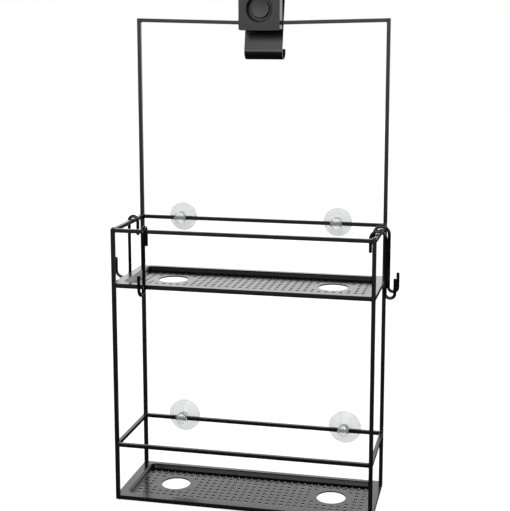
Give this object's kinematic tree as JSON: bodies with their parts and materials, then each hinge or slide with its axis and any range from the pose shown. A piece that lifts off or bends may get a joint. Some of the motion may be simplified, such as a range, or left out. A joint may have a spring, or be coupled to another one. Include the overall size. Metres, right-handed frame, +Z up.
{
  "type": "shower caddy",
  "caption": "Hanging wire-frame shower caddy with perforated trays, a spring hook for a rail or screen, S-hooks on its rails and suction cups behind.",
  "frame": {"origin": "on the axis of the rail that the top hook closes on, at the middle of the caddy's width", "axes": "+X to the caddy's right seen from the front, along the rail; +Y from the front rails back to the wall; +Z up"},
  "size_m": [0.3576, 0.1628, 0.6387],
  "materials": {
    "black_frame": "satin black powder coat",
    "black_tray": "satin black powder coat on pressed sheet",
    "black_wire": "semi-gloss black coat on wire",
    "clear_plastic": "clear soft plastic, slightly milky",
    "black_housing": "semi-gloss moulded black plastic",
    "black_button": "satin moulded black plastic",
    "black_strap": "gloss black coat on spring steel",
    "soft_liner": "matt moulded rubber",
    "steel_screw": "plain steel"
  },
  "bodies": {
    "frame": {"left_upright": "black_frame", "right_upright": "black_frame", "front_left_post": "black_frame", "front_right_post": "black_frame", "top_crossbar": "black_frame", "top_front_rail": "black_frame", "top_back_rail": "black_frame", "top_left_rail": "black_frame", "top_right_rail": "black_frame", "guard_front_rail": "black_frame", "guard_back_rail": "black_frame", "guard_left_rail": "black_frame", "guard_right_rail": "black_frame", "upper_tray_front_rail": "black_frame", "upper_tray_back_rail": "black_frame", "upper_tray_left_rail": "black_frame", "upper_tray_right_rail": "black_frame", "lower_tray_front_rail": "black_frame", "lower_tray_back_rail": "black_frame", "lower_tray_left_rail": "black_frame", "lower_tray_right_rail": "black_frame", "upper_tray": "black_tray", "lower_tray": "black_tray", "clip_housing": "black_housing", "hook_strap": "black_strap", "strap_liner": "soft_liner", "clip_screws": "steel_screw"},
    "right_front_hook": {"right_front_hook": "black_wire"},
    "right_back_hook": {"right_back_hook": "black_wire"},
    "left_hook": {"left_hook": "black_wire"},
    "front_hook": {"front_hook": "black_wire"},
    "upper_left_cup": {"upper_left_cup": "clear_plastic"},
    "upper_right_cup": {"upper_right_cup": "clear_plastic"},
    "lower_left_cup": {"lower_left_cup": "clear_plastic"},
    "lower_right_cup": {"lower_right_cup": "clear_plastic"},
    "button": {"clip_button": "black_button"}
  },
  "joints": [
    {"name": "right_front_hook_swing", "type": "hinge", "parent": "frame", "child": "right_front_hook", "pos_m": [0.155, -0.08675, -0.29407], "axis": [0, -1, 0], "range_deg": [-3, 75]},
    {"name": "right_back_hook_swing", "type": "hinge", "parent": "frame", "child": "right_back_hook", "pos_m": [0.155, -0.05275, -0.29407], "axis": [0, -1, 0], "range_deg": [-3, 75]},
    {"name": "left_hook_swing", "type": "hinge", "parent": "frame", "child": "left_hook", "pos_m": [-0.155, -0.05075, -0.2902], "axis": [0, 1, 0], "range_deg": [-0.5, 75]},
    {"name": "front_hook_swing", "type": "hinge", "parent": "frame", "child": "front_hook", "pos_m": [-0.1155, -0.12275, -0.2902], "axis": [-1, 0, 0], "range_deg": [-0.5, 75]},
    {"name": "upper_left_cup_tilt", "type": "hinge", "parent": "frame", "child": "upper_left_cup", "pos_m": [-0.104, -0.01675, -0.2899], "axis": [1, 0, 0], "range_deg": [-30, 30]},
    {"name": "upper_right_cup_tilt", "type": "hinge", "parent": "frame", "child": "upper_right_cup", "pos_m": [0.095, -0.01675, -0.2899], "axis": [1, 0, 0], "range_deg": [-30, 30]},
    {"name": "lower_left_cup_tilt", "type": "hinge", "parent": "frame", "child": "lower_left_cup", "pos_m": [-0.105, -0.01675, -0.5543], "axis": [1, 0, 0], "range_deg": [-30, 30]},
    {"name": "lower_right_cup_tilt", "type": "hinge", "parent": "frame", "child": "lower_right_cup", "pos_m": [0.107, -0.01675, -0.5543], "axis": [1, 0, 0], "range_deg": [-30, 30]},
    {"name": "button_press", "type": "slide", "parent": "frame", "child": "button", "axis": [0, 1, 0], "range_m": [0, 0.0032], "stiffness_N_per_m": 600, "springref_m": -0.002}
  ]
}
